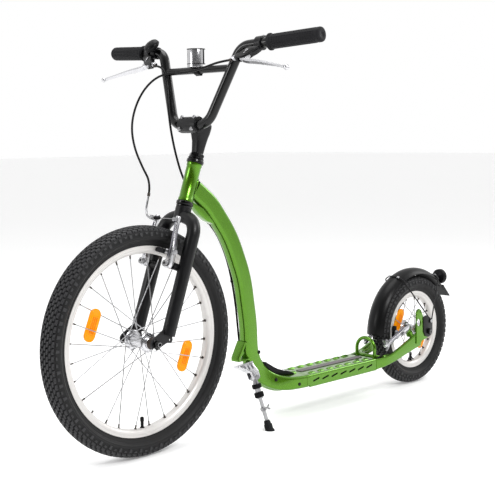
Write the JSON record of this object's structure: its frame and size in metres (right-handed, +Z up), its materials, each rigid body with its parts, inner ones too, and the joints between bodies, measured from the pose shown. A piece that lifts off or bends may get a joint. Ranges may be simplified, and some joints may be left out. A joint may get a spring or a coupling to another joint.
{
  "type": "kick scooter",
  "caption": "Kick scooter with a large front and a small rear wheel, curved main tube, low deck, high handlebar, rim brakes with levers, rear mudguard, bell, reflectors and folding stand.",
  "frame": {"origin": "on the ground, at the centre of the scooter's length and width, with the scooter upright and the steering straight", "axes": "+X forward in the direction of travel, +Y to the rider's left, +Z up"},
  "size_m": [1.39, 0.6782, 0.9206],
  "materials": {
    "green_paint": "gloss metallic green paint",
    "black_paint": "gloss black paint",
    "satin_black": "satin black powder coat",
    "alloy": "polished alloy",
    "rim_alloy": "pale satin anodised alloy",
    "steel": "bright steel",
    "tyre_rubber": "black knobbly rubber",
    "soft_rubber": "matt dark rubber",
    "black_plastic": "moulded black plastic",
    "gloss_black": "gloss black plastic",
    "cable_black": "black sheathed cable housing",
    "grip_grey": "grey gritted strip",
    "amber": "amber prismatic reflector",
    "red": "red prismatic reflector",
    "clear": "clear prismatic reflector"
  },
  "bodies": {
    "frame": {"head_tube": "green_paint", "main_tube": "green_paint", "deck_nose": "green_paint", "deck_plate": "green_paint", "deck_grip_strip": "grip_grey", "deck_end_cover": "black_plastic", "rear_arms": "green_paint", "brake_guard_hoop": "green_paint", "kickstand_bracket": "green_paint", "kickstand_housing": "alloy", "rear_mudguard": "black_plastic", "mudguard_stays": "satin_black", "rear_reflector_housing": "black_plastic", "rear_reflector": "red", "headset_cups": "black_paint", "headset_bearings": "steel", "rear_axle": "steel", "rear_axle_nuts": "steel", "rear_cable_frame_run": "cable_black"},
    "steering": {"fork": "satin_black", "headset_locknuts": "black_paint", "stem": "satin_black", "stem_faceplate": "satin_black", "stem_bolts": "steel", "handlebar": "black_paint", "grips": "soft_rubber", "lever_brackets": "satin_black", "barrel_adjusters": "alloy", "bell_base": "black_plastic", "bell_dome": "gloss_black", "front_reflector": "clear", "front_reflector_bracket": "black_plastic", "front_axle": "steel", "front_axle_nuts": "steel", "front_brake_cable": "cable_black", "rear_cable_bar_run": "cable_black"},
    "front_wheel": {"front_tyre": "tyre_rubber", "front_inner_tube": "soft_rubber", "front_rim": "rim_alloy", "front_spokes": "steel", "front_hub": "alloy", "front_hub_bearings": "steel", "front_wheel_reflectors": "amber"},
    "rear_wheel": {"rear_tyre": "tyre_rubber", "rear_inner_tube": "soft_rubber", "rear_rim": "rim_alloy", "rear_spokes": "steel", "rear_hub": "alloy", "rear_hub_bearings": "steel", "rear_wheel_reflectors": "amber"},
    "left_lever": {"left_brake_lever": "alloy"},
    "right_lever": {"right_brake_lever": "alloy"},
    "front_left_arm": {"front_left_brake_arm": "alloy"},
    "front_right_arm": {"front_right_brake_arm": "alloy"},
    "rear_left_arm": {"rear_left_brake_arm": "alloy"},
    "rear_right_arm": {"rear_right_brake_arm": "alloy"},
    "bell_lever": {"bell_thumb_lever": "gloss_black"},
    "kickstand": {"kickstand_leg": "steel", "kickstand_fittings": "black_plastic", "kickstand_foot": "soft_rubber"}
  },
  "joints": [
    {"name": "steering", "type": "hinge", "parent": "frame", "child": "steering", "pos_m": [0.304, 0, 0.549], "axis": [-0.342, 0, 0.9397], "range_deg": [-60, 60], "deforming": ["rear_cable_bar_run"]},
    {"name": "front_wheel_spin", "type": "hinge", "parent": "steering", "child": "front_wheel", "pos_m": [0.442, 0, 0.253], "axis": [0, 1, 0], "continuous": true},
    {"name": "rear_wheel_spin", "type": "hinge", "parent": "frame", "child": "rear_wheel", "pos_m": [-0.534, 0, 0.15], "axis": [0, 1, 0], "continuous": true},
    {"name": "left_brake_lever", "type": "hinge", "parent": "steering", "child": "left_lever", "pos_m": [0.26195, 0.16337, 0.87053], "axis": [0.7133, 0.0475, 0.6993], "range_deg": [0, 17], "stiffness_Nm_per_rad": 0.6, "springref_deg": -20.05},
    {"name": "right_brake_lever", "type": "hinge", "parent": "steering", "child": "right_lever", "pos_m": [0.26195, -0.16337, 0.87053], "axis": [-0.7133, 0.0475, -0.6993], "range_deg": [0, 17], "stiffness_Nm_per_rad": 0.6, "springref_deg": -20.05},
    {"name": "front_left_arm", "type": "hinge", "parent": "steering", "child": "front_left_arm", "pos_m": [0.39193, 0.04, 0.41999], "axis": [0.9397, 0, 0.342], "range_deg": [0, 4]},
    {"name": "front_right_arm", "type": "hinge", "parent": "steering", "child": "front_right_arm", "pos_m": [0.39193, -0.04, 0.41999], "axis": [-0.9397, 0, -0.342], "range_deg": [0, 4], "deforming": ["front_brake_cable"]},
    {"name": "rear_left_arm", "type": "hinge", "parent": "frame", "child": "rear_left_arm", "pos_m": [-0.46398, 0.04, 0.16901], "axis": [-0.4161, 0, -0.9093], "range_deg": [0, 2.7], "deforming": ["rear_cable_frame_run"]},
    {"name": "rear_right_arm", "type": "hinge", "parent": "frame", "child": "rear_right_arm", "pos_m": [-0.46398, -0.04, 0.16901], "axis": [0.4161, 0, 0.9093], "range_deg": [0, 2.7]},
    {"name": "kickstand_fold", "type": "hinge", "parent": "frame", "child": "kickstand", "pos_m": [0.1235, 0.0315, 0.1247], "axis": [0.1278, 0.9583, 0.2556], "range_deg": [0, 84]},
    {"name": "bell_thumb_lever", "type": "hinge", "parent": "steering", "child": "bell_lever", "pos_m": [0.253, -0.16753, 0.89939], "axis": [0.7023, -0.0455, 0.7105], "range_deg": [0, 16], "stiffness_Nm_per_rad": 0.02, "springref_deg": -17.19}
  ],
  "couplings": [
    {"joint": "front_left_arm", "follows": "left_brake_lever", "ratio": 0.23529},
    {"joint": "front_right_arm", "follows": "left_brake_lever", "ratio": 0.23529},
    {"joint": "rear_left_arm", "follows": "right_brake_lever", "ratio": 0.15882},
    {"joint": "rear_right_arm", "follows": "right_brake_lever", "ratio": 0.15882}
  ]
}
